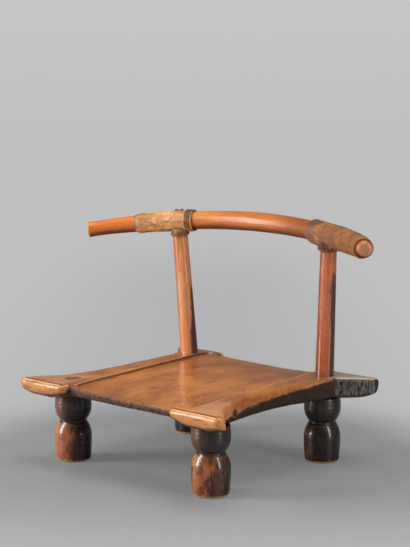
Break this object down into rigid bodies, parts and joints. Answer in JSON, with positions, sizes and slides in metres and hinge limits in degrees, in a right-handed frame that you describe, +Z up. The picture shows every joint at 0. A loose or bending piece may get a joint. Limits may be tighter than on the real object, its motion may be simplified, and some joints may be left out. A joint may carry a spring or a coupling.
{
  "type": "low birthing chair",
  "caption": "Low carved hardwood chair with a dished, horned seat on turned stub legs, leaning posts and a bent branch back tied with rawhide.",
  "frame": {"origin": "on the floor, under the centre of the seat", "axes": "+Z up, the front of the chair towards -Y, its width along X"},
  "size_m": [0.6654, 0.414, 0.4222],
  "materials": {
    "seat_wood": "hand-polished, dark brown to orange with wear",
    "leg_wood": "hand-polished, darkened by use",
    "post_wood": "hand-polished red-brown",
    "branch_wood": "peeled branch, hand-polished orange-brown",
    "rawhide": "dried rawhide, dull brown",
    "thong": "dark twisted hide thong"
  },
  "bodies": {
    "root": {"seat": "seat_wood", "front_left_leg": "leg_wood", "front_right_leg": "leg_wood", "back_left_leg": "leg_wood", "back_right_leg": "leg_wood", "left_post": "post_wood", "right_post": "post_wood", "back_rail": "branch_wood", "left_sleeve": "rawhide", "right_sleeve": "rawhide", "left_skirt": "rawhide", "right_skirt": "rawhide", "left_neck_thong": "thong", "right_neck_thong": "thong", "left_thong_wrap": "thong", "left_thong_knots": "thong", "right_seam_stitches": "thong"}
  },
  "joints": []
}
